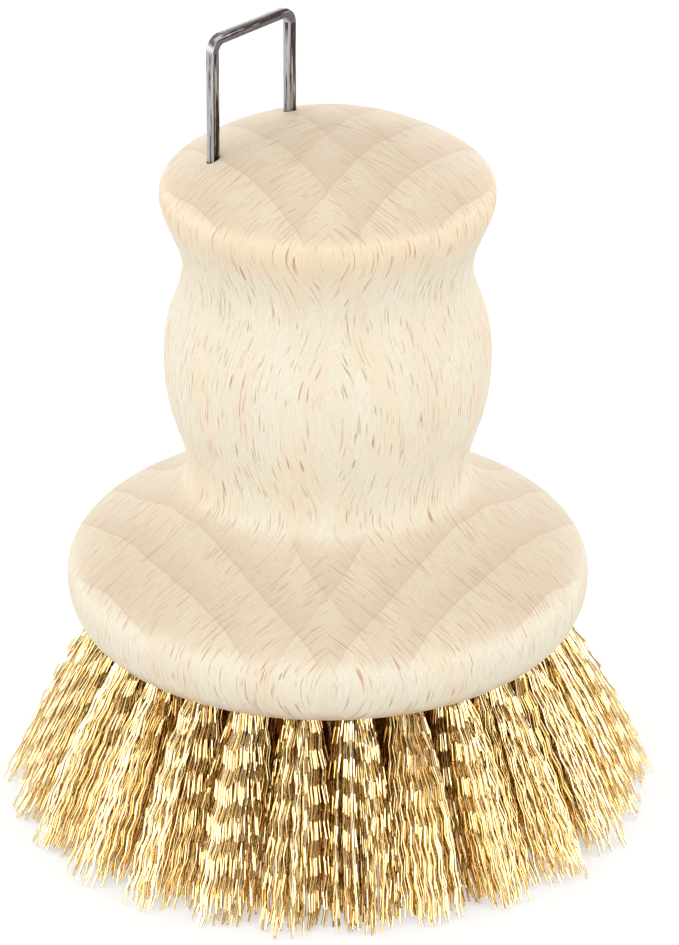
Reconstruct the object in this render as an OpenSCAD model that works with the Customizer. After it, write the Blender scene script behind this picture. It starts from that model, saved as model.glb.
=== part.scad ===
// Palm brush: a turned wooden knob handle with tufts of crimped brass wire and a steel hanging loop.
// The axis of the handle is Z. The wire tips lie in the plane Z = 0 and the loop's bar runs along X.

/* [Handle] */
// Diameter of the knob at its widest
knob_diameter = 37.8; // [34:0.1:44]
// Radius of the knob's domed top
dome_radius = 30; // [27:0.5:60]
// Width of the rolled edge between the dome and the knob's widest ring
knob_edge = 2.7; // [2:0.1:4]
// Height of the dome's crown above the knob's widest ring
crown_rise = 8.3; // [7.5:0.1:12]
// Diameter of the neck under the knob
neck_diameter = 32.8; // [28:0.1:33.5]
// Height of the knob's widest ring above the neck
knob_rise = 8.5; // [6:0.1:14]
// Diameter of the swelling that the fingers hold
grip_diameter = 37.2; // [34:0.1:44]
// Height of the neck above the grip's widest ring
neck_rise = 11.1; // [8:0.1:16]
// Diameter of the waist above the disc
waist_diameter = 32.1; // [28:0.1:33.5]
// Height of the grip's widest ring above the waist
grip_rise = 13.9; // [10:0.1:20]
// Height of the waist above the underside
waist_height = 18.9; // [17.5:0.1:26]

/* [Disc] */
// Diameter of the disc that holds the tufts
disc_diameter = 60; // [57:0.1:80]
// Height of the disc's widest ring above the underside
rim_height = 5.4; // [4.5:0.1:7]
// Height of the sloping shoulder above the underside
shoulder_height = 11.7; // [10.5:0.1:14]
// Distance of the shoulder inside the disc's edge
shoulder_inset = 6; // [5:0.1:7]
// Slope of the shoulder in degrees
shoulder_slope = 26; // [15:1:32]
// Width of the flat wood between the outer tuft holes and the rounded edge under the disc
mouth_land = 0.2; // [0.1:0.1:0.5]

/* [Tufts] */
// Number of tufts in each ring, from the edge inwards, the last one on the axis
tufts_in_ring = [26, 14, 7, 1];
// Distance of the outer ring of tuft holes inside the disc's edge
ring_margin = 6; // [5.5:0.1:8]
// Diameter of a tuft hole
hole_diameter = 4; // [3.4:0.1:4.4]
// Depth of a tuft hole along its own axis
hole_depth = 7; // [5.5:0.1:8]
// Outward lean of the outer ring of tufts in degrees
outer_lean = 22; // [10:1:25]
// Length of wire below the underside, measured straight down
wire_reach = 22; // [16:0.5:30]
// Depth of the folded wire's end inside the hole's mouth
mouth_recess = 1; // [0.8:0.1:1.5]

/* [Strands] */
// Number of strands round an outer tuft
outer_tuft_strands = 8; // [6:1:8]
// Number of strands round a tuft of the other rings
inner_tuft_strands = 3; // [3:1:8]
// Distance from a strand's centre to its corners
strand_radius = 0.4; // [0.2:0.05:0.45]
// Number of kinks along a strand of the outer ring
outer_kinks = 2; // [1:1:4]
// Number of kinks along a strand of the other rings
inner_kinks = 1; // [1:1:4]
// Sideways size of a kink
kink_depth = 0.35; // [0.1:0.05:0.5]
// Spread of an outer tuft's tips to each side of its middle, away from the brush's axis
outer_spread = 4.3; // [3:0.1:5]
// Spread of the other tufts' tips
inner_spread = 3.2; // [2:0.1:3.5]
// Gap between the tips of neighbouring tufts
tuft_gap = 0.6; // [0.3:0.1:1.5]
// Clearance between a tuft's outer strands and the wall of its hole
strand_clearance = 0.3; // [0.2:0.05:0.5]
// Length by which every second strand is shorter than the others
tip_unevenness = 0.8; // [0:0.1:2]

/* [Anchors] */
// Thickness of the flat anchor wire that holds a folded tuft
anchor_thickness = 0.5; // [0.3:0.05:0.8]
// Height of the anchor wire along the hole
anchor_height = 1.6; // [1:0.1:2.5]
// Clearance between an anchor's ends and the hole's wall
anchor_clearance = 0.1; // [0.08:0.01:0.2]

/* [Hanging loop] */
// Side of the loop's square wire
loop_wire = 1.1; // [0.9:0.05:1.6]
// Size of the flat on each corner of the square wire
wire_corner = 0.15; // [0.05:0.05:0.25]
// Distance between the middles of the loop's legs
loop_span = 12.7; // [9:0.1:16]
// Height of the loop's bar above the crown, at its upper face
loop_rise = 11.6; // [8:0.1:20]
// Depth of the legs' ends below the crown
loop_depth = 11; // [9:0.1:14]
// Radius of the loop's corners at the middle of the wire
loop_bend = 1.4; // [1:0.1:3]
// Sideways place of the loop's middle
loop_x = -4.3; // [-6:0.1:4]
// Distance of the loop's plane from the brush's axis
loop_y = 7.5; // [0:0.1:8]

/* [Hidden] */
// Smoothness of round surfaces
$fn = 64;
// Sides of a tuft hole and of the folded wire in it, which share their corners
hole_sides = 12;
fold_sides = 6;
// Steps in each curve of the handle's outline
curve_steps = 4;
// Share of a curve's height or width that steers it, for tight, even and full bends
tight = 0.25;
even = 0.35;
full = 0.55;
// Excess length of a cutting shape past the surface it cuts
overcut = 2;
strand_sides = 3;
// Depth of a strand's root inside the folded wire
root_depth = 0.8;

ring_names = ["outer", "middle", "inner", "centre"];
rings = len(tufts_in_ring);

underside_z = wire_reach;
waist_z = underside_z + waist_height;
grip_z = waist_z + grip_rise;
neck_z = grip_z + neck_rise;
knob_z = neck_z + knob_rise;
crown_z = knob_z + crown_rise;

knob_r = knob_diameter / 2;
disc_r = disc_diameter / 2;
dome_edge_r = knob_r - knob_edge;
dome_edge_angle = asin(dome_edge_r / dome_radius);
outer_ring_r = disc_r - ring_margin;
hole_r = hole_diameter / 2;
root_spread = hole_r - strand_radius - strand_clearance;

loop_bar_z = crown_z + loop_rise - loop_wire / 2;
loop_end_z = crown_z - loop_depth;
loop_hole_diameter = loop_wire * sqrt(2);

function tuft_name(ring, i) = str("tuft_", ring_names[ring], "_", i + 1);

// Each ring lies a third of the way further in, and leans less in proportion.
function ring_r(ring) = outer_ring_r * (1 - ring / (rings - 1));
function ring_lean(ring) = outer_lean * (1 - ring / (rings - 1));
function ring_tip_r(ring) = ring_r(ring) + wire_reach * tan(ring_lean(ring));
function tuft_azimuth(ring, i) = (i + 0.5) * 360 / tufts_in_ring[ring];
function is_outer(ring) = ring == 0;
function spread(ring) = is_outer(ring) ? outer_spread : inner_spread;

// The tips of a tuft spread as far as the next tuft in its ring lets them.
function spread_around(ring) = tufts_in_ring[ring] < 2
    ? spread(ring)
    : min(spread(ring), ring_tip_r(ring) * sin(180 / tufts_in_ring[ring]) - strand_radius - tuft_gap / 2);

// A cubic curve from a to b, steered by two handles, without its first point.
function curve(a, a_handle, b_handle, b) = [
    for (step = [1:curve_steps])
        let (t = step / curve_steps, s = 1 - t)
            s * s * s * a + 3 * s * s * t * a_handle + 3 * s * t * t * b_handle + t * t * t * b
];

// A curve down from one ring of the handle to the next, upright at both ends.
function sweep(a, a_pull, b, b_pull) =
    let (drop = a[1] - b[1])
        curve(a, a - [0, a_pull * drop], b + [0, b_pull * drop], b);

dome = [
    for (step = [0:curve_steps])
        let (angle = dome_edge_angle * step / curve_steps)
            [dome_radius * sin(angle), crown_z - dome_radius * (1 - cos(angle))]
];
dome_edge = dome[curve_steps];
knob = [knob_r, knob_z];
neck = [neck_diameter / 2, neck_z];
grip = [grip_diameter / 2, grip_z];
waist = [waist_diameter / 2, waist_z];
shoulder = [disc_r - shoulder_inset, underside_z + shoulder_height];
rim = [disc_r, underside_z + rim_height];
underside = [outer_ring_r + hole_r / cos(outer_lean) + mouth_land, underside_z];
underside_roll = disc_r - underside[0];

downhill = [cos(shoulder_slope), -sin(shoulder_slope)];
dome_tangent = [1, -tan(dome_edge_angle)];
shoulder_run = shoulder[0] - waist[0];
shoulder_drop = waist[1] - shoulder[1];
rim_drop = shoulder[1] - rim[1];

handle_outline = concat(
    dome,
    curve(dome_edge, dome_edge + full * knob_edge * dome_tangent,
        knob + [0, full * (dome_edge[1] - knob_z)], knob),
    sweep(knob, tight, neck, even),
    sweep(neck, even, grip, full),
    sweep(grip, full, waist, even),
    curve(waist, waist - [0, even * shoulder_drop], shoulder - full * shoulder_run * downhill, shoulder),
    curve(shoulder, shoulder + full * shoulder_inset * downhill, rim + [0, full * rim_drop], rim),
    curve(rim, rim - [0, full * rim_height], underside + [full * underside_roll, 0], underside),
    [[0, underside_z]]
);

// Places its children at the mouth of one tuft hole, with Z up along the hole.
module at_hole(ring, i) {
    rotate([0, 0, tuft_azimuth(ring, i)])
        translate([ring_r(ring), 0, underside_z])
            rotate([0, -ring_lean(ring), 0])
                children();
}

module at_every_hole() {
    for (ring = [0:rings - 1])
        for (i = [0:tufts_in_ring[ring] - 1])
            at_hole(ring, i) children();
}

module at_loop_legs() {
    for (side = [-1, 1])
        translate([loop_x + side * loop_span / 2, loop_y, loop_end_z]) children();
}

module wooden_handle() {
    color([0.93, 0.86, 0.75])
        difference() {
            rotate_extrude() polygon(handle_outline);
            at_every_hole()
                translate([0, 0, -overcut])
                    cylinder(h = hole_depth + overcut, d = hole_diameter, $fn = hole_sides);
            at_loop_legs() cylinder(h = loop_depth + overcut, d = loop_hole_diameter);
        }
}

module wire_section() {
    half = loop_wire / 2;
    flat_half = half - wire_corner;
    polygon([
        [half, -flat_half], [half, flat_half], [flat_half, half], [-flat_half, half],
        [-half, flat_half], [-half, -flat_half], [-flat_half, -half], [flat_half, -half]
    ]);
}

// One leg and one corner of the loop, on the side of +X.
module half_loop() {
    leg_x = loop_span / 2;
    bend_z = loop_bar_z - loop_bend;
    translate([leg_x, 0, loop_end_z]) linear_extrude(bend_z - loop_end_z) wire_section();
    translate([leg_x - loop_bend, 0, bend_z])
        rotate([90, 0, 0])
            rotate_extrude(angle = 90) translate([loop_bend, 0]) wire_section();
}

module hanging_loop() {
    bar_half = loop_span / 2 - loop_bend;
    color([0.72, 0.72, 0.74])
        translate([loop_x, loop_y, 0]) {
            half_loop();
            mirror([1, 0, 0]) half_loop();
            translate([-bar_half, 0, loop_bar_z])
                rotate([0, 90, 0]) linear_extrude(2 * bar_half) wire_section();
        }
}

// The flat anchor wire stands between the bottom of the hole and the fold of the wires.
module anchor() {
    length = hole_diameter - 2 * anchor_clearance;
    translate([-anchor_thickness / 2, -length / 2, hole_depth - anchor_height])
        cube([anchor_thickness, length, anchor_height]);
}

module tuft_anchors() {
    color([0.6, 0.58, 0.55]) at_every_hole() anchor();
}

module folded_wire() {
    translate([0, 0, mouth_recess])
        cylinder(h = hole_depth - anchor_height - mouth_recess, d = hole_diameter, $fn = fold_sides);
}

// A strand runs down through its path, with a level cut at both ends.
module strand(path) {
    last = (len(path) - 1) * strand_sides;
    points = [
        for (place = path)
            for (side = [0:strand_sides - 1])
                let (angle = side * 360 / strand_sides)
                    place + strand_radius * [cos(angle), sin(angle), 0]
    ];
    walls = [
        for (level = [0:len(path) - 2])
            for (side = [0:strand_sides - 1])
                let (a = level * strand_sides + side, b = level * strand_sides + (side + 1) % strand_sides)
                    each [[a, b, b + strand_sides], [a, b + strand_sides, a + strand_sides]]
    ];
    polyhedron(points, concat([[2, 1, 0]], walls, [[last, last + 1, last + 2]]));
}

// The path of one strand, from its root in the hole to its tip. The strand's place in the tuft is
// given by u, away from the brush's axis, and v, sideways, both from -1 to 1.
function strand_path(ring, u, v, shortening) =
    let (
        lean = ring_lean(ring),
        depth = mouth_recess + root_depth,
        hole_x = ring_r(ring),
        root = [hole_x - depth * sin(lean) + u * root_spread * cos(lean), v * root_spread,
            underside_z + depth * cos(lean) + u * root_spread * sin(lean)],
        full_tip = [ring_tip_r(ring) + u * spread(ring), v * spread_around(ring), 0],
        tip = full_tip + (root - full_tip) * shortening / root[2],
        kinks = is_outer(ring) ? outer_kinks : inner_kinks
    )
    [
        for (level = [0:kinks + 1])
            let (
                inside = level > 0 && level <= kinks,
                side = level % 2 == 1 ? 1 : -1
            )
                root + (tip - root) * level / (kinks + 1) + [0, inside ? side * kink_depth : 0, 0]
    ];

module tuft(ring, i) {
    count = is_outer(ring) ? outer_tuft_strands : inner_tuft_strands;
    color([0.87, 0.7, 0.36]) {
        at_hole(ring, i) folded_wire();
        rotate([0, 0, tuft_azimuth(ring, i)]) {
            strand(strand_path(ring, 0, 0, 0));
            for (j = [0:count - 1])
                let (angle = j * 360 / count)
                    strand(strand_path(ring, cos(angle), sin(angle), j % 2 * tip_unevenness));
        }
    }
}

wooden_handle();
hanging_loop();
tuft_anchors();
for (ring = [0:rings - 1])
    for (i = [0:tufts_in_ring[ring] - 1])
        tuft(ring, i);
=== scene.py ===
# %% [markdown]
# # A palm brush
# A turned beech knob, forty-eight tufts of crimped brass wire and a steel loop to hang it by.
# The CAD model gives the true size and place of every piece. This script keeps that frame and
# gives each piece the surface that the real one shows. All lengths are in metres, Z is up, and
# the brush stands on its wire tips at Z = 0.

# %% Load the frame
import math
import bpy
import numpy as np
from mathutils import Matrix, Vector


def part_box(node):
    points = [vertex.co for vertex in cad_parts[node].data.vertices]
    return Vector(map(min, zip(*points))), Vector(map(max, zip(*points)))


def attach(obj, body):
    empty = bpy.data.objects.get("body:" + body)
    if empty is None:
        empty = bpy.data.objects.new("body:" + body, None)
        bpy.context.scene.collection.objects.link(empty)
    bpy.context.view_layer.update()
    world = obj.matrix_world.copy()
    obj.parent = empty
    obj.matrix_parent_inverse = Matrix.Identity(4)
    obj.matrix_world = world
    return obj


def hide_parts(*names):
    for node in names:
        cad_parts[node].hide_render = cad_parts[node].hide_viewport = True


MM = 0.001
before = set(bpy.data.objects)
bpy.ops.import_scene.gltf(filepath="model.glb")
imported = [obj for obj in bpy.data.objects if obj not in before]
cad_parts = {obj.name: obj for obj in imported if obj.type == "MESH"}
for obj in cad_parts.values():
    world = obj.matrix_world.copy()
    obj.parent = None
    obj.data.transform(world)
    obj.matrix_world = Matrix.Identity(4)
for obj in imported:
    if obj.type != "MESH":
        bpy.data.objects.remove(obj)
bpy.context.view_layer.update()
print("nodes in the frame:", len(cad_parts))

# %% [markdown]
# Blender's operators act on whatever is selected, and a freshly imported frame is selected.
# So every step begins by clearing the selection and choosing one object.

# %% Choose one object
def choose(obj):
    if bpy.context.object and bpy.context.object.mode != "OBJECT":
        bpy.ops.object.mode_set(mode="OBJECT")
    bpy.ops.object.select_all(action="DESELECT")
    obj.select_set(True)
    bpy.context.view_layer.objects.active = obj


bpy.ops.object.select_all(action="DESELECT")
print("selected now:", len(bpy.context.selected_objects))

# %% [markdown]
# A finished piece keeps its place in its mesh, with the object itself at the origin, unturned
# and unscaled. Then patterns that read Object coordinates stay where they belong.

# %% Finish a piece
def settle(obj, name, nodes):
    choose(obj)
    bpy.ops.object.transform_apply(location=True, rotation=True, scale=True)
    obj.name = name
    obj.data.name = name
    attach(obj, "root")
    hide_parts(*nodes)
    print(name, "stands for", len(nodes), "node(s), with", len(obj.data.polygons), "faces")


def apply_modifier(obj, kind, **settings):
    choose(obj)
    modifier = obj.modifiers.new(kind.title(), kind)
    for key, value in settings.items():
        setattr(modifier, key, value)
    bpy.ops.object.modifier_apply(modifier=modifier.name)


print("ready to settle pieces")

# %% [markdown]
# The main heights and widths come from the frame itself. The rest of the handle's turned
# outline is a short list of rings, each a radius and a height, as a turner would mark them.

# %% Sizes of the wood
handle_low, handle_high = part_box("wooden_handle")
UNDERSIDE = handle_low[2]
CROWN = handle_high[2]
DISC_R = handle_high[0]
KNOB = (18.9 * MM, CROWN - 8.3 * MM)
NECK = (16.4 * MM, KNOB[1] - 8.5 * MM)
GRIP = (18.6 * MM, NECK[1] - 11.1 * MM)
WAIST = (16.05 * MM, GRIP[1] - 13.9 * MM)
SHOULDER = (DISC_R - 6 * MM, UNDERSIDE + 11.7 * MM)
RIM = (DISC_R, UNDERSIDE + 5.4 * MM)
DOME_R = 30 * MM
DOME_EDGE = 16.2 * MM
SHOULDER_SLOPE = math.radians(26)
print("wood from", round(UNDERSIDE, 4), "to", round(CROWN, 4), "disc radius", round(DISC_R, 4))

# %% [markdown]
# The tufts stand in rings, and the further out a ring is, the more its tufts lean outwards.
# That is what makes the brush wider at its tips than at its disc.

# %% Sizes of the tufts
RING_NAMES = ["outer", "middle", "inner", "centre"]
RING_COUNTS = [26, 14, 7, 1]
LAST_RING = len(RING_COUNTS) - 1
HOLE_R = 2 * MM
HOLE_DEPTH = 7 * MM
MOUTH_LAND = 0.2 * MM
OUTER_RING_R = DISC_R - 6 * MM
OUTER_LEAN = math.radians(22)
UNDERSIDE_R = OUTER_RING_R + HOLE_R / math.cos(OUTER_LEAN) + MOUTH_LAND


def ring_place(ring):
    """How far a ring of tufts is from the axis, and how much it leans outwards."""
    share = 1 - ring / LAST_RING
    return OUTER_RING_R * share, OUTER_LEAN * share


def azimuths(ring):
    count = RING_COUNTS[ring]
    return [(i + 0.5) * math.tau / count for i in range(count)]


print("tufts:", sum(RING_COUNTS))

# %% [markdown]
# ## The handle
# The real handle is turned on a lathe from one piece of beech. In Blender a lathe is the Spin
# tool: an outline is drawn by extruding one vertex from point to point, and then spun round Z.
# Each stretch between two rings is a cubic curve that stands upright at both rings, because a
# turned profile has no corners. The pulls say how far each end steers its curve.

# %% Curves of the outline
CURVE_STEPS = 12
TIGHT, EVEN, FULL = 0.25, 0.35, 0.55


def cubic(a, a_handle, b_handle, b):
    points = []
    for step in range(1, CURVE_STEPS + 1):
        t = step / CURVE_STEPS
        s = 1 - t
        points.append(s**3 * a + 3 * s * s * t * a_handle + 3 * s * t * t * b_handle + t**3 * b)
    return points


def sweep(a, a_pull, b, b_pull):
    a, b = Vector(a), Vector(b)
    drop = a.y - b.y
    return cubic(a, a - Vector((0, a_pull * drop)), b + Vector((0, b_pull * drop)), b)


print("steps in a curve:", CURVE_STEPS)

# %% [markdown]
# The outline runs from the crown down: the dome is part of a sphere, its edge rolls over into
# the knob, and below the waist the shoulder slopes out to the rim and turns under it.

# %% The turned outline
def dome_points(edge_angle):
    points = []
    for step in range(1, CURVE_STEPS + 1):
        angle = edge_angle * step / CURVE_STEPS
        points.append(Vector((DOME_R * math.sin(angle), CROWN - DOME_R * (1 - math.cos(angle)))))
    return points


def disc_points():
    waist, shoulder, rim = Vector(WAIST), Vector(SHOULDER), Vector(RIM)
    underside = Vector((UNDERSIDE_R, UNDERSIDE))
    downhill = Vector((math.cos(SHOULDER_SLOPE), -math.sin(SHOULDER_SLOPE)))
    points = cubic(
        waist,
        waist - Vector((0, EVEN * (waist.y - shoulder.y))),
        shoulder - FULL * (shoulder.x - waist.x) * downhill,
        shoulder,
    )
    points += cubic(
        shoulder,
        shoulder + FULL * (rim.x - shoulder.x) * downhill,
        rim + Vector((0, FULL * (shoulder.y - rim.y))),
        rim,
    )
    points += cubic(
        rim,
        rim - Vector((0, FULL * (rim.y - UNDERSIDE))),
        underside + Vector((FULL * (rim.x - underside.x), 0)),
        underside,
    )
    return points + [Vector((0, UNDERSIDE))]


def handle_outline():
    edge_angle = math.asin(DOME_EDGE / DOME_R)
    points = dome_points(edge_angle)
    dome_edge, knob = points[-1], Vector(KNOB)
    outward = Vector((1, -math.tan(edge_angle)))
    points += cubic(
        dome_edge,
        dome_edge + FULL * (knob.x - dome_edge.x) * outward,
        knob + Vector((0, FULL * (dome_edge.y - knob.y))),
        knob,
    )
    points += sweep(KNOB, TIGHT, NECK, EVEN)
    points += sweep(NECK, EVEN, GRIP, FULL)
    points += sweep(GRIP, FULL, WAIST, EVEN)
    return points + disc_points()


outline = handle_outline()
print("points in the outline:", len(outline))

# %% [markdown]
# A tiny plane merged to its centre leaves one vertex on the axis to start from. After the spin,
# the vertices on the axis and along the closing line lie on each other, so they are merged.

# %% Spin the outline
SPIN_STEPS = 144
WELD = 0.001 * MM


def turn_on_lathe(points):
    bpy.ops.mesh.primitive_plane_add(size=MM, location=(0, 0, CROWN))
    blank = bpy.context.object
    bpy.ops.object.mode_set(mode="EDIT")
    bpy.ops.mesh.merge(type="CENTER")
    here = Vector((0, CROWN))
    for point in points:
        step = point - here
        bpy.ops.mesh.extrude_vertices_move(TRANSFORM_OT_translate={"value": (step.x, 0, step.y)})
        here = point
    bpy.ops.mesh.select_all(action="SELECT")
    bpy.ops.mesh.spin(steps=SPIN_STEPS, angle=math.tau, center=(0, 0, 0), axis=(0, 0, 1))
    bpy.ops.mesh.select_all(action="SELECT")
    bpy.ops.mesh.remove_doubles(threshold=WELD)
    bpy.ops.mesh.normals_make_consistent(inside=False)
    bpy.ops.object.mode_set(mode="OBJECT")
    return blank


bpy.ops.object.select_all(action="DESELECT")
handle = turn_on_lathe(outline)
print("turned blank:", len(handle.data.polygons), "faces")

# %% [markdown]
# The loop's legs need holes in the knob too, so its place is read from the frame first.

# %% The loop's place
loop_low, loop_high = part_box("hanging_loop")
LOOP_WIRE = loop_high[1] - loop_low[1]
LOOP_Y = (loop_low[1] + loop_high[1]) / 2
LOOP_X = (loop_low[0] + loop_high[0]) / 2
LOOP_LEG = (loop_high[0] - loop_low[0] - LOOP_WIRE) / 2
LOOP_TOP = loop_high[2] - LOOP_WIRE / 2
LOOP_END = loop_low[2]
LOOP_BEND = 1.4 * MM
print("loop wire", round(LOOP_WIRE / MM, 2), "mm, legs", round(2 * LOOP_LEG / MM, 1), "mm apart")

# %% [markdown]
# The tuft holes are drilled at a slant that follows each ring's lean. The drill is a cylinder
# for each hole, all joined into one cutter, and a Boolean modifier takes them out in one go.

# %% Drill the holes
TUFT_DRILL_SIDES = 24
LEG_DRILL_SIDES = 20
LEG_DRILL_R = LOOP_WIRE * 0.72
SMOOTH_TURNED = math.radians(35)


def hole_matrix(ring, azimuth):
    """From a tuft's own space, with Z up along its hole, to the brush."""
    radius, lean = ring_place(ring)
    turned = Matrix.Rotation(azimuth, 4, "Z")
    placed = Matrix.Translation((radius, 0, UNDERSIDE))
    return turned @ placed @ Matrix.Rotation(-lean, 4, "Y")


def add_drill(matrix, radius, low, high, sides):
    bpy.ops.mesh.primitive_cylinder_add(vertices=sides, radius=radius, depth=high - low)
    drill = bpy.context.object
    drill.matrix_world = matrix @ Matrix.Translation((0, 0, (low + high) / 2))
    return drill


def make_cutter():
    drills = []
    for ring in range(len(RING_COUNTS)):
        for azimuth in azimuths(ring):
            hole = hole_matrix(ring, azimuth)
            drills.append(add_drill(hole, HOLE_R, -HOLE_R, HOLE_DEPTH, TUFT_DRILL_SIDES))
    for side in (-1, 1):
        leg = Matrix.Translation((LOOP_X + side * LOOP_LEG, LOOP_Y, 0))
        drills.append(add_drill(leg, LEG_DRILL_R, LOOP_END, CROWN + MM, LEG_DRILL_SIDES))
    choose(drills[0])
    for drill in drills:
        drill.select_set(True)
    bpy.ops.object.join()
    return drills[0]


cutter = make_cutter()
apply_modifier(handle, "BOOLEAN", operation="DIFFERENCE", solver="EXACT", object=cutter)
bpy.data.objects.remove(cutter)
choose(handle)
bpy.ops.object.shade_smooth_by_angle(angle=SMOOTH_TURNED)
settle(handle, "turned_handle", ["wooden_handle"])

# %% [markdown]
# ## The hanging loop
# The real loop is a length of square steel wire bent to a U and pushed into the knob. A curve
# with a bevel could make it, but its section would need a second object. Here it starts as one
# square face at the foot of a leg. Extrude makes the straight runs, Spin makes the bends, and a
# small Bevel gives drawn wire its rounded edges.

# %% Bend the loop
BEND_STEPS = 10
WIRE_EDGE = 0.16 * MM
EDGE_SEGMENTS = 3
SHARPEST_BEVEL = math.radians(60)
SMOOTH_WIRE = math.radians(40)


def bend_loop():
    left, right = LOOP_X - LOOP_LEG, LOOP_X + LOOP_LEG
    bend_z = LOOP_TOP - LOOP_BEND
    leg = bend_z - LOOP_END
    bar = 2 * (LOOP_LEG - LOOP_BEND)
    bpy.ops.mesh.primitive_plane_add(size=LOOP_WIRE, location=(left, LOOP_Y, LOOP_END))
    wire_loop = bpy.context.object
    bpy.ops.object.mode_set(mode="EDIT")
    runs = [((0, 0, leg), left + LOOP_BEND), ((bar, 0, 0), right - LOOP_BEND), ((0, 0, -leg), None)]
    for run, centre_x in runs:
        bpy.ops.mesh.extrude_region_move(TRANSFORM_OT_translate={"value": run})
        if centre_x is not None:
            corner = (centre_x, LOOP_Y, bend_z)
            bpy.ops.mesh.spin(
                steps=BEND_STEPS, angle=math.pi / 2, center=corner, axis=(0, -1, 0)
            )
    bpy.ops.mesh.select_all(action="SELECT")
    bpy.ops.mesh.remove_doubles(threshold=WELD)
    bpy.ops.mesh.normals_make_consistent(inside=False)
    bpy.ops.object.mode_set(mode="OBJECT")
    return wire_loop


bpy.ops.object.select_all(action="DESELECT")
loop = bend_loop()
apply_modifier(
    loop,
    "BEVEL",
    width=WIRE_EDGE,
    segments=EDGE_SEGMENTS,
    limit_method="ANGLE",
    angle_limit=SHARPEST_BEVEL,
)
choose(loop)
bpy.ops.object.shade_smooth_by_angle(angle=SMOOTH_WIRE)
settle(loop, "wire_loop", ["hanging_loop"])

# %% [markdown]
# ## The tufts
# A real tuft is a pinch of crimped brass wires, folded over a flat anchor wire and driven into
# its hole. Hair could make it, but hair leaves no mesh behind, so each wire is a mesh of its
# own. One wire is modelled first: a three-sided section, extruded from kink to kink, to one side
# and to the other in turn. It is one unit thick, with kinks one unit apart, and is then read
# into arrays, because bending it thousands of times is quicker as arithmetic.

# %% One crimped wire
KINKS = 14


def crimp_one_wire():
    """A wire one unit thick, with kinks one unit apart going down, one unit to each side."""
    bpy.ops.mesh.primitive_circle_add(vertices=3, radius=1, fill_type="NGON")
    master = bpy.context.object
    bpy.ops.object.mode_set(mode="EDIT")
    bpy.ops.transform.translate(value=(-1, 0, 0))
    for kink in range(KINKS):
        side = 2 if kink % 2 == 0 else -2
        bpy.ops.mesh.extrude_region_move(TRANSFORM_OT_translate={"value": (side, 0, -1)})
    bpy.ops.mesh.select_all(action="SELECT")
    bpy.ops.mesh.normals_make_consistent(inside=False)
    bpy.ops.object.mode_set(mode="OBJECT")
    return master


bpy.ops.object.select_all(action="DESELECT")
wire = crimp_one_wire()
wire_verts = np.array([v.co for v in wire.data.vertices])
wire_faces = np.array([tuple(p.vertices) for p in wire.data.polygons if len(p.vertices) == 4])
wire_caps = np.array([tuple(p.vertices) for p in wire.data.polygons if len(p.vertices) == 3])
kink_of_vertex = np.rint(-wire_verts[:, 2]).astype(int)
zigzag = np.where(kink_of_vertex % 2 == 0, -1.0, 1.0)
section = wire_verts[:, :2] - np.stack([zigzag, np.zeros(len(zigzag))], axis=1)
bpy.data.objects.remove(wire)
print("one wire has", len(wire_faces) + len(wire_caps), "faces")

# %% [markdown]
# The wires fill the hole's mouth and fan out from there, as far as the neighbouring tufts let
# them. A sunflower's pattern of seeds fills a round place evenly with any number of wires.

# %% Places in a tuft
WIRE_R = 0.155 * MM
WIRES = [120, 90, 90, 90]
BUNDLE_R = HOLE_R - WIRE_R - 0.05 * MM
OUTER_SPREAD = 5.2 * MM
INNER_SPREAD = 3.7 * MM
OVERLAP = 0.3 * MM
GOLDEN_ANGLE = math.radians(137.508)


def disc_places(count):
    """Evenly filled places in a unit disc, in the order of a sunflower's seeds."""
    index = np.arange(count)
    radius = np.sqrt((index + 0.5) / count)
    angle = index * GOLDEN_ANGLE
    return np.stack([radius * np.cos(angle), radius * np.sin(angle)], axis=1)


def spread_of(ring, tip_r):
    """How far the tips of a tuft reach in and out of the brush, and sideways."""
    away = OUTER_SPREAD if ring == 0 else INNER_SPREAD
    if ring == LAST_RING:
        return away, away
    return away, min(away, tip_r * math.sin(math.pi / RING_COUNTS[ring]) + OVERLAP)


print("wires in all:", sum(WIRES[ring] * RING_COUNTS[ring] for ring in range(len(WIRES))))

# %% [markdown]
# The master wire is laid along each wire's own line: every ring of its vertices is moved to
# the right distance down the line, and out to its side of the zigzag. The zigzag starts deep
# in the hole and is cut off at the tip, so it begins and ends at any point of a kink.

# %% Lay one wire
ROOT_DEPTH = 2.4 * MM


def wire_vertices(mouth, tip, turn, crimp, wave, bow):
    """The master wire laid from the hole's mouth to the tip."""
    line = tip - mouth
    length = np.linalg.norm(line)
    along = line / length
    side_x = np.array([along[2], 0, -along[0]])
    side_x /= -np.linalg.norm(side_x)
    side_y = np.cross(along, side_x)
    kink_gap = (length + ROOT_DEPTH) / (KINKS - 0.5)
    # The whole part of the wave says which side the first kink is on, the rest where it starts.
    phase = wave % 1.0
    up_from_tip = np.maximum(KINKS - 1 - kink_of_vertex + phase, 0) * kink_gap
    sign = 1 if int(wave) % 2 == 0 else -1
    # The last ring of vertices is the cut tip, part of the way to the kink it would have reached.
    offset = np.where(kink_of_vertex == KINKS, zigzag * (2 * phase - 1), zigzag) * sign * crimp
    swell = np.sin(math.pi * np.clip(1 - up_from_tip / length, 0, 1))
    local_x = section[:, 0] * WIRE_R + offset
    local_y = section[:, 1] * WIRE_R
    across = local_x * math.cos(turn) - local_y * math.sin(turn) + bow[0] * swell
    beside = local_x * math.sin(turn) + local_y * math.cos(turn) + bow[1] * swell
    return (tip[None] - up_from_tip[:, None] * along[None]
            + across[:, None] * side_x[None] + beside[:, None] * side_y[None])


straight = wire_vertices(np.array([0, 0, UNDERSIDE]), np.zeros(3), 0, 0, 0, (0, 0))
print("a wire on the axis is", round(np.ptp(straight[:, 2]) / MM, 1), "mm long")

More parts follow.
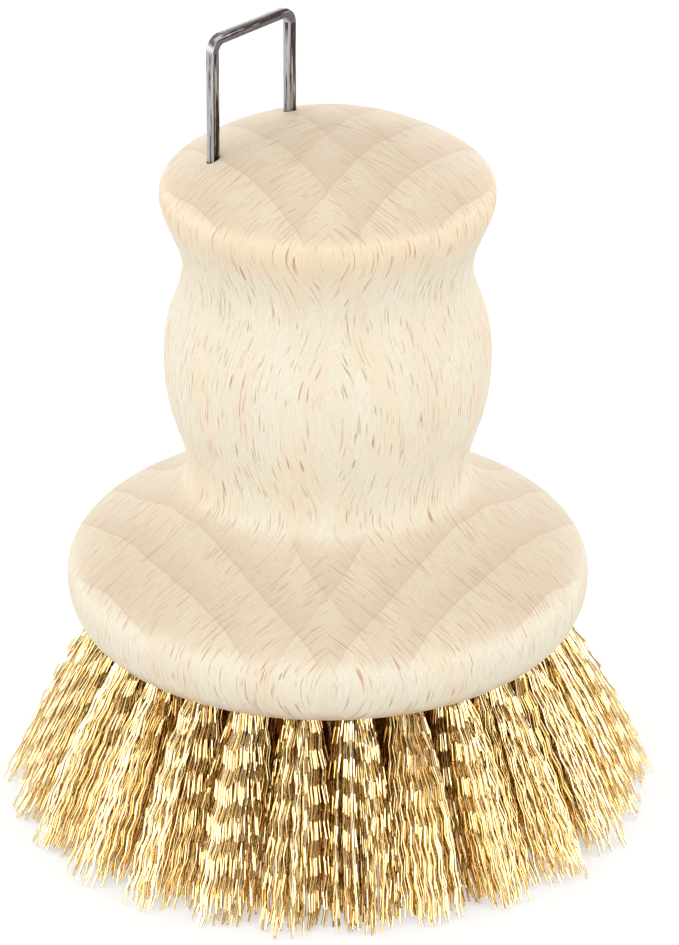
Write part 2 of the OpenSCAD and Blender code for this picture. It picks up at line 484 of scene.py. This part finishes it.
# %% [markdown]
# The wires of a tuft aren't spread evenly: they lie in small locks of wires whose kinks fit
# into each other, as spoons do. So each lock has one phase and one direction of crimp, and its
# wires differ only a little. The tufts are all cut from one hank of wire, so the crimp also
# lies the same way across the whole brush. That is why one tuft shows bright and dark blocks,
# and another fine waves. A few wires go astray, and a few turn their own way. Each tuft has its
# own seed, so the brush comes out the same on every run.

# %% Luck of the locks and the wires
LOCKS = 9
LOCK_REACH = 1.05
LOCK_TURN = 0.55
LOCK_BOW = 0.2 * MM
LOCK_PULL = 0.3 * MM
CRIMP = 0.145 * MM
CRIMP_TURN = math.radians(-138)
BARREL = 0.7 * MM
PLACE_LUCK = 0.04
CRIMP_LUCK = 0.15
BOW_LUCK = 0.1 * MM
TURN_LUCK = 0.2
SLIP, STRAY_SLIP, STRAY_SHARE = 0.2 * MM, 1.3 * MM, 0.04
WAVE_LUCK, ODD_WAVE_LUCK, ODD_SHARE = 0.1, 0.6, 0.16
SHORTEST_CUT, CUT_LUCK = 0.05 * MM, 0.5 * MM


def draw_locks(rng, azimuth):
    """Phase, direction of crimp, bow and pull of each lock, in this order."""
    waves = rng.random(LOCKS) * 2
    turns = rng.normal(CRIMP_TURN - azimuth, LOCK_TURN, LOCKS)
    bows = rng.normal(0, LOCK_BOW, (LOCKS, 2))
    pulls = rng.normal(0, LOCK_PULL, (LOCKS, 2))
    return list(zip(waves, turns, bows, pulls))


def draw_wire(rng, lock, u, v):
    """How one wire of a lock slips, falls short, turns, waves, crimps and bows."""
    lock_wave, lock_turn, lock_bow, lock_pull = lock
    stray = rng.random() < STRAY_SHARE
    slip = lock_pull + rng.normal(0, STRAY_SLIP if stray else SLIP, 2)
    short = abs(rng.normal(0, CUT_LUCK)) + SHORTEST_CUT
    odd = rng.random() < ODD_SHARE
    turn = rng.random() * math.pi if odd else lock_turn + rng.normal(0, TURN_LUCK)
    wave = lock_wave + rng.normal(0, ODD_WAVE_LUCK if odd else WAVE_LUCK) + 2
    crimp = CRIMP * (1 + rng.normal(0, CRIMP_LUCK))
    bow = lock_bow + rng.normal(0, BOW_LUCK, 2) + BARREL * np.array([u, -v])
    return slip, short, turn, crimp, wave, bow


print("locks in a tuft:", LOCKS)

# %% [markdown]
# Each wire also gets a shade between zero and one for the brass to read. Part of it is a tone
# that differs at random, as real wires do, and part is painted light and shade: wires at the
# outside of a tuft are painted lighter, and those on the inner side and in the inner rings are
# painted darker and browner, as painted shade deep in the brush.

# %% The wires of one tuft
MIDDLE_SHADE = 0.5
# Painted light on the outside of a tuft, and painted shade on its inner side and the inner rings.
PAINTED_LIGHT_OUTSIDE = 0.32
PAINTED_SHADE_INNER_RINGS = 0.25
SHADE_LUCK = 0.7


def wire_tones_and_painted_shade(rng, ring, places):
    # Painted light and shade by place in the brush; the random part below is the wires' own tone.
    depth = MIDDLE_SHADE + PAINTED_LIGHT_OUTSIDE * places[:, 0] - (PAINTED_SHADE_INNER_RINGS if ring > 0 else 0)
    return np.clip(depth + SHADE_LUCK * (rng.random(len(places)) - 0.5), 0, 1)


def tuft_wires(ring, azimuth, seed):
    """All wires of one tuft at azimuth zero, and a shade for each."""
    rng = np.random.default_rng(seed)
    count = WIRES[ring]
    radius, lean = ring_place(ring)
    tip_r = radius + UNDERSIDE * math.tan(lean)
    away, around = spread_of(ring, tip_r)
    places = disc_places(count) + rng.normal(0, PLACE_LUCK, (count, 2))
    centres = disc_places(LOCKS) * LOCK_REACH
    lock_of = np.argmin(((places[:, None] - centres[None]) ** 2).sum(axis=2), axis=1)
    locks = draw_locks(rng, azimuth)
    wires = []
    for (u, v), lock in zip(places, lock_of):
        mouth = np.array([
            radius + u * BUNDLE_R * math.cos(lean),
            v * BUNDLE_R,
            UNDERSIDE + u * BUNDLE_R * math.sin(lean),
        ])
        slip, short, turn, crimp, wave, bow = draw_wire(rng, locks[lock], u, v)
        tip = np.array([tip_r + u * away + slip[0], v * around + slip[1], 0])
        tip = tip + (mouth - tip) * short / mouth[2]
        wires.append(wire_vertices(mouth, tip, turn, crimp, wave, bow))
    return np.array(wires), wire_tones_and_painted_shade(rng, ring, places)


sample, _ = tuft_wires(0, 0, 1)
print("an outer tuft reaches from", (sample.min(axis=(0, 1)) / MM).round(1),
      "to", (sample.max(axis=(0, 1)) / MM).round(1))

# %% [markdown]
# All wires of a tuft become one mesh. It is shaded smooth round each wire, but the edges round
# each kink are marked sharp, so that every straight stretch catches the light by itself, which
# is what makes crimped wire glitter.

# %% Every tuft in its place
def mark_kinks(mesh, wire_count):
    """Sharp edges are those whose two ends belong to the same kink."""
    ends = np.empty(len(mesh.edges) * 2, dtype=np.int64)
    mesh.edges.foreach_get("vertices", ends)
    kinks = np.tile(kink_of_vertex, wire_count)[ends.reshape(-1, 2)]
    sharp = mesh.attributes.new("sharp_edge", "BOOLEAN", "EDGE")
    sharp.data.foreach_set("value", kinks[:, 0] == kinks[:, 1])


def add_tuft(name, ring, azimuth, seed):
    wires, shades = tuft_wires(ring, azimuth, seed)
    verts = wires.reshape(-1, 3) @ np.array(Matrix.Rotation(azimuth, 3, "Z")).T
    verts[:, 2] = np.maximum(verts[:, 2], 0)
    starts = np.arange(len(wires)) * len(wire_verts)
    quads = (wire_faces[None] + starts[:, None, None]).reshape(-1, 4)
    caps = (wire_caps[None] + starts[:, None, None]).reshape(-1, 3)
    mesh = bpy.data.meshes.new(name)
    mesh.from_pydata(verts.tolist(), [], quads.tolist() + caps.tolist())
    mesh.polygons.foreach_set("use_smooth", [True] * len(mesh.polygons))
    shade = mesh.attributes.new("shade", "FLOAT", "POINT")
    shade.data.foreach_set("value", np.repeat(shades, len(wire_verts)))
    mark_kinks(mesh, len(wires))
    obj = bpy.data.objects.new(name, mesh)
    bpy.context.scene.collection.objects.link(obj)
    return obj


tufts = []
for ring, ring_name in enumerate(RING_NAMES):
    for i, azimuth in enumerate(azimuths(ring)):
        tuft = add_tuft(f"wires_{ring_name}_{i + 1}", ring, azimuth, 100 * ring + i + 1)
        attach(tuft, "root")
        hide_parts(f"tuft_{ring_name}_{i + 1}")
        tufts.append(tuft)
print("tufts:", len(tufts), "with", sum(len(tuft.data.polygons) for tuft in tufts), "faces")

# %% [markdown]
# ## Materials
# Each finish is a tree of shader nodes. The main helper adds a node, sets it up and links its
# inputs, so that a pattern can be read line by line. The others name what a node is used for.

# %% Helpers that add nodes
def new_material(name):
    material = bpy.data.materials.new(name)
    material.use_nodes = True
    tree = material.node_tree
    return material, tree, tree.nodes["Principled BSDF"]


def add(tree, kind, inputs=None, **settings):
    node = tree.nodes.new(kind)
    for key, value in settings.items():
        setattr(node, key, value)
    for key, value in (inputs or {}).items():
        if isinstance(value, bpy.types.NodeSocket):
            tree.links.new(value, node.inputs[key])
        else:
            node.inputs[key].default_value = value
    return node


def dress(obj, material):
    obj.data.materials.clear()
    obj.data.materials.append(material)


print("node helpers ready")

# %% [markdown]
# Sums and products join values, a ramp or a mask shapes them, and a mix lays one colour over
# another by a share. Mix has sockets for every kind of data, and only those in use are enabled.

# %% Helpers that shape values
def maths(tree, operation, a, b=0.0, c=0.0):
    node = add(tree, "ShaderNodeMath", {0: a, 1: b, 2: c}, operation=operation)
    return node.outputs[0]


def product(tree, first, *others):
    for other in others:
        first = maths(tree, "MULTIPLY", first, other)
    return first


def masked(tree, value, low, high):
    """Zero at low and one at high, with a soft step between them."""
    return add(tree, "ShaderNodeMapRange", {"Value": value, "From Min": low, "From Max": high},
               interpolation_type="SMOOTHSTEP").outputs[0]


def ramp(tree, factor, stops):
    node = add(tree, "ShaderNodeValToRGB", {"Fac": factor})
    elements = node.color_ramp.elements
    while len(elements) < len(stops):
        elements.new(0.5)
    for element, (place, colour) in zip(elements, stops):
        element.position = place
        element.color = (*colour, 1)
    return node.outputs["Color"]


def mix(tree, factor, a, b):
    node = add(tree, "ShaderNodeMix", data_type="RGBA")
    for key, value in (("Factor", factor), ("A", a), ("B", b)):
        socket = [s for s in node.inputs if s.name == key and s.enabled][0]
        if isinstance(value, bpy.types.NodeSocket):
            tree.links.new(value, socket)
        else:
            socket.default_value = value if key == "Factor" else (*value, 1)
    return [s for s in node.outputs if s.enabled][0]


print("value helpers ready")

# %% [markdown]
# Patterns start from a place: Object coordinates for most, and the surface's own normal where
# a pattern depends on how the wood is cut.

# %% Helpers that read places
def object_place(tree):
    return add(tree, "ShaderNodeTexCoord").outputs["Object"]


def surface_normal(tree):
    return add(tree, "ShaderNodeNewGeometry").outputs["Normal"]


def split(tree, vector):
    return list(add(tree, "ShaderNodeSeparateXYZ", {0: vector}).outputs)


def combine(tree, x, y, z):
    return add(tree, "ShaderNodeCombineXYZ", {0: x, 1: y, 2: z}).outputs[0]


def noise(tree, vector, scale, detail=2.0, roughness=0.5):
    inputs = {"Vector": vector, "Scale": scale, "Detail": detail, "Roughness": roughness}
    return add(tree, "ShaderNodeTexNoise", inputs).outputs["Fac"]


print("place helpers ready")

# %% [markdown]
# ## Beech
# Beech is pale and even, with two marks that tell it from other woods: growth rings about five
# millimetres wide, clear on the end grain of the knob and the disc, and short reddish-brown
# flecks, where thin rays of hard tissue are cut. Both could be painted on, but a solid pattern
# runs through the wood as the real one does: a ray is a thin upright sheet, and a turned surface
# cuts it into a dash that leans with the slope. The growth rings mirror each other in the two
# halves of the brush, so they meet in arrowheads. The flecks don't: the right half reads them
# from another height of the trunk.

# %% Directions in the wood
GRAIN_TURN = math.radians(48.46)
RAY_TURN = math.radians(33.5)
HALF_SHIFT = 137.0
MIRRORED, RUNNING_ON = -1.0, 1.0


def seam_axes(tree):
    """Millimetres across the plane where the halves meet, along it, and up."""
    inputs = {
        "Vector": object_place(tree),
        "Rotation": (0, 0, GRAIN_TURN),
        "Scale": (1 / MM, 1 / MM, 1 / MM),
    }
    return split(tree, add(tree, "ShaderNodeMapping", inputs).outputs[0])


def grain_axes(tree, side):
    """Millimetres across the growth rings, along them, and up the trunk."""
    across, along, up = seam_axes(tree)
    right = maths(tree, "GREATER_THAN", across, 0.0)
    x = product(tree, maths(tree, "ABSOLUTE", across), side)
    half = combine(tree, x, along, maths(tree, "MULTIPLY_ADD", right, HALF_SHIFT, up))
    inputs = {"Vector": half, "Angle": -RAY_TURN}
    trunk = add(tree, "ShaderNodeVectorRotate", inputs, rotation_type="Z_AXIS")
    return split(tree, trunk.outputs[0])


def from_seam(tree, zero_at, one_at):
    """Zero at one distance from the seam and one at another, in millimetres."""
    return masked(tree, maths(tree, "ABSOLUTE", seam_axes(tree)[0]), zero_at, one_at)


print("the rays stand", round(math.degrees(RAY_TURN), 1), "degrees from the seam")

# %% [markdown]
# Noise gives every mark in the wood, stretched to the mark's own shape: a fleck is thin across
# the rays and long up the trunk. A skew keeps the cells of the noise from lining up in rows.

# %% Stretched noise
def stretched(tree, axes, scales, skew=0.0):
    """Axes in units of a pattern's own size."""
    x, y, z = [maths(tree, "MULTIPLY", axis, scale) for axis, scale in zip(axes, scales)]
    shifted = maths(tree, "ADD", z, maths(tree, "MULTIPLY", maths(tree, "ADD", x, y), skew))
    return combine(tree, x, y, shifted)


def grain(tree, axes, scales, skew=0.0, detail=0.0, roughness=0.5):
    return noise(tree, stretched(tree, axes, scales, skew), 1.0, detail, roughness)


print("grain helpers ready")

# %% [markdown]
# The growth rings are circles round the heart of the tree, which lies far outside the brush.
# Within a year the wood darkens slowly and ends in a sharp dark edge, so the fraction of the
# year that has passed goes through a ramp.

# %% Growth rings
TREE_R = 150
HEART_SIDE = 8.0
RING_PITCH = 5.45
FIRST_RING = 17.9 + 10 * RING_PITCH
WANDER = 1.4
YEAR = [(0.0, 0.75), (0.03, 0.9), (0.07, 0.62), (0.34, 0.36), (0.65, 0.06), (0.985, 0)]


def latewood(tree, axes):
    """One at the dark edge of a growth ring, fading to zero through the ring."""
    across, along = axes[0], axes[1]
    wander = grain(tree, axes, (0.12, 0.12, 0.0), detail=2.0)
    wander = maths(tree, "MULTIPLY_ADD", wander, WANDER, -WANDER / 2)
    from_heart = maths(tree, "SUBTRACT", TREE_R, across)
    sideways = maths(tree, "ADD", along, HEART_SIDE)
    squares = maths(tree, "ADD", maths(tree, "POWER", from_heart, 2.0),
                    product(tree, sideways, sideways))
    depth = maths(tree, "SUBTRACT", TREE_R, maths(tree, "SQRT", squares))
    place = maths(tree, "ADD", maths(tree, "ADD", depth, wander), FIRST_RING)
    year = maths(tree, "FRACT", maths(tree, "DIVIDE", place, RING_PITCH))
    return ramp(tree, year, [(time, (dark, dark, dark)) for time, dark in YEAR])


print("rings every", RING_PITCH, "mm")

# %% [markdown]
# Three masks say where a mark belongs. End grain faces up or down. The knob's rim is warm,
# where the sanded side turns over. Rays show as dashes only where the side cuts across them,
# and not where it runs along them.

# %% Where the marks belong
RIM_SHARE = 0.42
ALONG_RAYS = 0.75


def end_grain(tree):
    """One where the surface faces up or down and zero where it stands upright."""
    return masked(tree, maths(tree, "ABSOLUTE", split(tree, surface_normal(tree))[2]), 0.35, 0.8)


def knob_rim(tree):
    """A warm band where the knob's side turns over into its end grain."""
    height = split(tree, object_place(tree))[2]
    rises = masked(tree, height, KNOB[1] - 4.5 * MM, KNOB[1] - 0.5 * MM)
    fades = masked(tree, height, KNOB[1] + 3.5 * MM, KNOB[1] + 0.5 * MM)
    return product(tree, rises, fades, RIM_SHARE)


def crosses_rays(tree, axes):
    """One where the turned side cuts the ray sheets, low where it runs along them."""
    across, along = axes[0], axes[1]
    squares = maths(tree, "ADD", product(tree, across, across), product(tree, along, along))
    facing = maths(tree, "DIVIDE", maths(tree, "ABSOLUTE", along), maths(tree, "SQRT", squares))
    parallel = masked(tree, facing, 0.8, 0.97)
    return maths(tree, "SUBTRACT", 1.0, product(tree, parallel, ALONG_RAYS))


def between(tree, ends, on_side, on_end):
    """A share that differs between the sides and the end grain."""
    return maths(tree, "MULTIPLY_ADD", ends, on_end - on_side, on_side)


print("masks ready")

# %% [markdown]
# The ground is cream at the sides and a little darker on the end grain, with warm clouds. The
# rings lie over it, strong on the end grain and faint at the sides. Near the seam the rings of
# each half run on a little way into the other, fading out.

# %% Ground and rings
SIDE_COLOUR = (0.81, 0.765, 0.62)
END_COLOUR = (0.755, 0.67, 0.515)
CLOUD_COLOUR = (0.83, 0.67, 0.475)
RIM_COLOUR = (0.82, 0.60, 0.37)
LATE_COLOUR = (0.58, 0.43, 0.285)
BEYOND_COLOUR = (0.60, 0.46, 0.31)
BEYOND_SHARE = 0.42
BEYOND_REACH = 12


def ground_colour(tree, axes, ends):
    clouds = masked(tree, grain(tree, axes, (0.22, 0.22, 0.07), detail=2.0), 0.4, 0.7)
    colour = mix(tree, ends, SIDE_COLOUR, END_COLOUR)
    colour = mix(tree, product(tree, clouds, between(tree, ends, 0.45, 0.1)), colour, CLOUD_COLOUR)
    return mix(tree, knob_rim(tree), colour, RIM_COLOUR)


def lay_rings(tree, axes, ends, colour):
    late = product(tree, latewood(tree, axes), between(tree, ends, 0.1, 0.54))
    colour = mix(tree, late, colour, LATE_COLOUR)
    beyond = product(tree, latewood(tree, grain_axes(tree, RUNNING_ON)), ends)
    beyond = product(tree, beyond, from_seam(tree, BEYOND_REACH, 1), BEYOND_SHARE)
    return mix(tree, beyond, colour, BEYOND_COLOUR)


print("ground and rings ready")

# %% [markdown]
# Rays come in three sizes: fine ones that barely darken the wood, long ones that show on the end
# grain, and the bold flecks at the sides, some paler than others. No bold fleck crosses the
# seam, because it would be cut off there.

# %% Rays
FINE_COLOUR = (0.56, 0.41, 0.29)
LONG_COLOUR = (0.56, 0.34, 0.21)
FLECK_COLOUR = (0.54, 0.31, 0.19)


def lay_rays(tree, axes, ends, colour):
    cut = crosses_rays(tree, axes)
    fine = masked(tree, grain(tree, axes, (0.2, 5.0, 0.5), 0.4, 1.0, 0.4), 0.58, 0.7)
    fine_share = maths(tree, "MULTIPLY_ADD", ends, 0.07, product(tree, cut, 0.16))
    colour = mix(tree, product(tree, fine, fine_share), colour, FINE_COLOUR)
    long_rays = masked(tree, grain(tree, axes, (0.2, 3.3, 0.2), 0.45), 0.68, 0.75)
    return mix(tree, product(tree, long_rays, product(tree, ends, 0.5)), colour, LONG_COLOUR)


def lay_flecks(tree, axes, ends, colour):
    flecks = masked(tree, grain(tree, axes, (0.34, 5.2, 0.4), 0.37), 0.65, 0.75)
    boldness = masked(tree, grain(tree, axes, (0.3, 1.1, 0.3), detail=1.0), 0.4, 0.7)
    bold = maths(tree, "MULTIPLY_ADD", boldness, 0.6, 0.4)
    whole = from_seam(tree, 0.2, 1.6)
    share = product(tree, flecks, bold, whole, crosses_rays(tree, axes))
    return mix(tree, product(tree, share, between(tree, ends, 1.0, 0.65)), colour, FLECK_COLOUR)


print("rays ready")

# %% [markdown]
# The handle is sanded and left without varnish, so it is rather rough, and its fibres show as
# hair-fine lines in colour and in relief.

# %% The beech material
FIBRE_COLOUR = (0.56, 0.44, 0.32)
FIBRE_RELIEF = 0.04 * MM


def beech():
    material, tree, shader = new_material("beech_sanded")
    axes = grain_axes(tree, MIRRORED)
    ends = end_grain(tree)
    colour = lay_rings(tree, axes, ends, ground_colour(tree, axes, ends))
    fibre = grain(tree, axes, (7.0, 7.0, 0.4), 0.3, 2.0, 0.6)
    fibre_share = product(tree, masked(tree, fibre, 0.65, 0.35), between(tree, ends, 0.2, 0.36))
    colour = mix(tree, fibre_share, colour, FIBRE_COLOUR)
    colour = lay_flecks(tree, axes, ends, lay_rays(tree, axes, ends, colour))
    tree.links.new(colour, shader.inputs["Base Color"])
    shader.inputs["Roughness"].default_value = 0.58
    shader.inputs["Specular IOR Level"].default_value = 0.3
    inputs = {"Height": fibre, "Strength": 0.2, "Distance": FIBRE_RELIEF}
    bump = add(tree, "ShaderNodeBump", inputs)
    tree.links.new(bump.outputs[0], shader.inputs["Normal"])
    return material


dress(handle, beech())
print("beech on", handle.name)

# %% [markdown]
# ## Brass
# Drawn brass wire is bright and almost smooth. The shade that each wire carries as an attribute
# runs through a ramp from dark brown to clean brass. Its random part makes neighbours differ, as
# real ones do, and its dark low end is painted shade on the wires deep in the brush.

# %% The brass material
BRASS_SHADES = [
    # The lowest stop is the painted shade of the wires deep in the brush.
    (0.0, (0.76, 0.38, 0.08)),
    (0.35, (0.90, 0.62, 0.24)),
    (0.65, (0.95, 0.74, 0.38)),
    (1.0, (0.99, 0.86, 0.57)),
]


def brass():
    material, tree, shader = new_material("brass_wire")
    shade = add(tree, "ShaderNodeAttribute", attribute_name="shade").outputs["Fac"]
    tree.links.new(ramp(tree, shade, BRASS_SHADES), shader.inputs["Base Color"])
    shader.inputs["Metallic"].default_value = 1.0
    shader.inputs["Roughness"].default_value = 0.1
    return material


brass_wire = brass()
for tuft in tufts:
    dress(tuft, brass_wire)
print("brass on", len(tufts), "tufts")

# %% [markdown]
# ## Steel
# The loop is drawn steel: fine lines run along the wire, and dark scale from the furnace is left
# in patches. The broad faces get more of the dark scale, and that extra is a painted dark
# reflection of the dark surroundings they mirror. The lines follow the legs up and the bar
# across, so the pattern's coordinates change over from one to the other at the bends.

# %% Lines along the wire
ACROSS_WIRE = 7000
ALONG_WIRE = 300
LEG_SCALES = (ACROSS_WIRE, ACROSS_WIRE, ALONG_WIRE)
BAR_SCALES = (ALONG_WIRE, ACROSS_WIRE, ACROSS_WIRE)


def wire_place(tree):
    """Coordinates whose units are long along the wire and short across it."""
    place = object_place(tree)
    on_bar = masked(tree, split(tree, place)[2], LOOP_TOP - LOOP_BEND, LOOP_TOP)
    ways = [on_bar]
    for scales in (LEG_SCALES, BAR_SCALES):
        inputs = {0: place, 1: scales}
        ways.append(add(tree, "ShaderNodeVectorMath", inputs, operation="MULTIPLY").outputs[0])
    blend = add(tree, "ShaderNodeMix", data_type="VECTOR")
    for socket, value in zip([s for s in blend.inputs if s.enabled], ways):
        tree.links.new(value, socket)
    return [s for s in blend.outputs if s.enabled][0]


print("lines every", round(1 / ACROSS_WIRE / MM, 2), "mm across the wire")

# %% [markdown]
# The same tree serves the loop and the anchors in the holes, which are duller. Between the
# patches of scale the steel is worn bright along its lines.

# %% The steel materials
WORN = 0.7
# How much more dark scale the broad faces get: a painted dark reflection.
BROAD_FACES_PAINTED_DARK = -0.13
STEEL_RELIEF = 0.02 * MM


def steel(name, bright, scale, scale_share, roughness):
    """Drawn steel: fine lines along the wire, dark scale left in patches, and more of it on the
    broad faces as a painted dark reflection.
    """
    material, tree, shader = new_material(name)
    place = wire_place(tree)
    lines = noise(tree, place, 1.0, 3.0, 0.65)
    patches = noise(tree, place, 0.35, 4.0, 0.7)
    # The broad faces are painted darker, a painted dark reflection, by giving them more scale.
    broad = masked(tree, maths(tree, "ABSOLUTE", split(tree, surface_normal(tree))[1]), 0.8, 0.98)
    scale_and_painted_dark = maths(tree, "MULTIPLY_ADD", broad, BROAD_FACES_PAINTED_DARK, patches)
    dark = masked(tree, scale_and_painted_dark, scale_share + 0.05, scale_share - 0.03)
    dull = tuple(WORN * channel for channel in bright)
    worn = mix(tree, masked(tree, lines, 0.25, 0.75), dull, bright)
    tree.links.new(mix(tree, dark, worn, scale), shader.inputs["Base Color"])
    shader.inputs["Metallic"].default_value = 1.0
    shader.inputs["Roughness"].default_value = roughness
    inputs = {"Height": lines, "Strength": 0.25, "Distance": STEEL_RELIEF}
    bump = add(tree, "ShaderNodeBump", inputs)
    tree.links.new(bump.outputs[0], shader.inputs["Normal"])
    return material


dress(loop, steel("loop_steel_drawn", (0.50, 0.50, 0.51), (0.05, 0.03, 0.025), 0.40, 0.34))
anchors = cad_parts["tuft_anchors"]
anchor_steel = steel("anchor_steel_dull", (0.5, 0.49, 0.47), (0.2, 0.18, 0.16), 0.4, 0.42)
for material_slot in anchors.material_slots:
    material_slot.material = anchor_steel
print("steel on the loop and the anchors")

# %% [markdown]
# ## The camera
# The camera stands where the photograph was taken from: a little above the brush, and far
# enough away for a long lens, so that near and far tufts look the same size. A small sideways
# shift puts the brush's axis at its place in the frame without turning the camera.

# %% The camera
FRAME_W, FRAME_H = 679, 945
SENSOR = 36
VIEW_TURN = math.radians(-90 - 48.46)
VIEW_RISE = math.radians(26)
DISTANCE = 650 * MM
AIM_Z = UNDERSIDE + 17.6 * MM
FOCAL_PIXELS = 5681
AXIS_PIXEL = 327.75


def add_camera():
    data = bpy.data.cameras.new("camera")
    data.sensor_width = SENSOR
    data.lens = SENSOR * FOCAL_PIXELS / FRAME_H
    data.shift_x = (FRAME_W / 2 - AXIS_PIXEL) / FRAME_H
    view = bpy.data.objects.new("camera", data)
    flat = DISTANCE * math.cos(VIEW_RISE)
    view.location = (flat * math.cos(VIEW_TURN), flat * math.sin(VIEW_TURN),
                     AIM_Z + DISTANCE * math.sin(VIEW_RISE))
    view.rotation_euler = (math.pi / 2 - VIEW_RISE, 0, VIEW_TURN + math.pi / 2)
    bpy.context.scene.collection.objects.link(view)
    bpy.context.scene.camera = view
    return view


camera = add_camera()
print("camera", round(camera.data.lens, 1), "mm at", [round(c, 3) for c in camera.location])

# %% [markdown]
# ## Floor and light
# The floor is pale and plain. Rays that come straight from the camera, or by way of metal, see
# it lifted to white, and it still takes the brush's shadow. From below it is clear, so that the
# tips and the underside of the disc can be looked at too.

# %% The floor
FLOOR_SIZE = 6
FLOOR_COLOUR = (0.55, 0.55, 0.55, 1)
FLOOR_LIFT = 0.52
WHITE = (1, 1, 1)


def seen_directly(tree):
    """One for rays from the camera, and for those that metal or glass sends on."""
    path = add(tree, "ShaderNodeLightPath").outputs
    shiny = maths(tree, "MAXIMUM", path["Is Glossy Ray"], path["Is Transmission Ray"])
    return maths(tree, "MAXIMUM", path["Is Camera Ray"], shiny)


def floor_material():
    material, tree, shader = new_material("floor_white")
    shader.inputs["Base Color"].default_value = FLOOR_COLOUR
    shader.inputs["Roughness"].default_value = 0.9
    shader.inputs["Specular IOR Level"].default_value = 0.1
    shader.inputs["Emission Color"].default_value = (*WHITE, 1)
    lift = product(tree, seen_directly(tree), FLOOR_LIFT)
    tree.links.new(lift, shader.inputs["Emission Strength"])
    from_below = add(tree, "ShaderNodeNewGeometry").outputs["Backfacing"]
    window = add(tree, "ShaderNodeBsdfTransparent").outputs[0]
    both = add(tree, "ShaderNodeMixShader", {0: from_below, 1: shader.outputs[0], 2: window})
    tree.links.new(both.outputs[0], tree.nodes["Material Output"].inputs["Surface"])
    return material


def add_floor():
    bpy.ops.object.select_all(action="DESELECT")
    bpy.ops.mesh.primitive_plane_add(size=FLOOR_SIZE, location=(0, 0, 0))
    plane = bpy.context.object
    plane.name = "floor"
    dress(plane, floor_material())
    return plane


floor = add_floor()
print("the floor is", FLOOR_SIZE, "m wide")

# %% [markdown]
# One round softbox stands to the left of the camera and draws the soft shadow. Its turn is
# counted from the camera's own side, its rise from the floor.

# %% The lamp
LIT_HEIGHT = 45 * MM


def add_softbox(turn, rise, distance, size, power):
    data = bpy.data.lights.new("softbox", "AREA")
    data.shape = "DISK"
    data.size = size
    data.energy = power
    lamp = bpy.data.objects.new("softbox", data)
    aim = Vector((0, 0, LIT_HEIGHT))
    angle = VIEW_TURN + turn
    flat = distance * math.cos(rise)
    height = distance * math.sin(rise)
    lamp.location = aim + Vector((flat * math.cos(angle), flat * math.sin(angle), height))
    lamp.rotation_euler = (lamp.location - aim).to_track_quat("Z", "Y").to_euler()
    bpy.context.scene.collection.objects.link(lamp)
    return lamp


softbox = add_softbox(math.radians(-30), math.radians(40), distance=0.9, size=0.4, power=0.3)
print("softbox at", [round(c, 2) for c in softbox.location])

# %% [markdown]
# The world is a white tent with a grey top, and between them a dark, slightly warm band. An
# all-white tent would leave metal flat. The band is what the brass and the steel reflect in
# their dark places, and the wood hardly sees it.

# %% The world
BAND = (0.022, 0.011, 0.005)
SKY = [(0.0, WHITE), (0.28, WHITE), (0.36, BAND), (0.76, BAND), (0.84, (0.53, 0.53, 0.53))]
SKY_STRENGTH = 3.4


def light_world():
    world = bpy.data.worlds.new("studio")
    bpy.context.scene.world = world
    world.use_nodes = True
    tree = world.node_tree
    direction = add(tree, "ShaderNodeTexCoord").outputs["Generated"]
    sky = ramp(tree, split(tree, direction)[2], SKY)
    tree.links.new(sky, tree.nodes["Background"].inputs["Color"])
    tree.nodes["Background"].inputs["Strength"].default_value = SKY_STRENGTH


light_world()
bpy.context.scene.view_settings.view_transform = "Standard"
print("world lit at strength", SKY_STRENGTH)
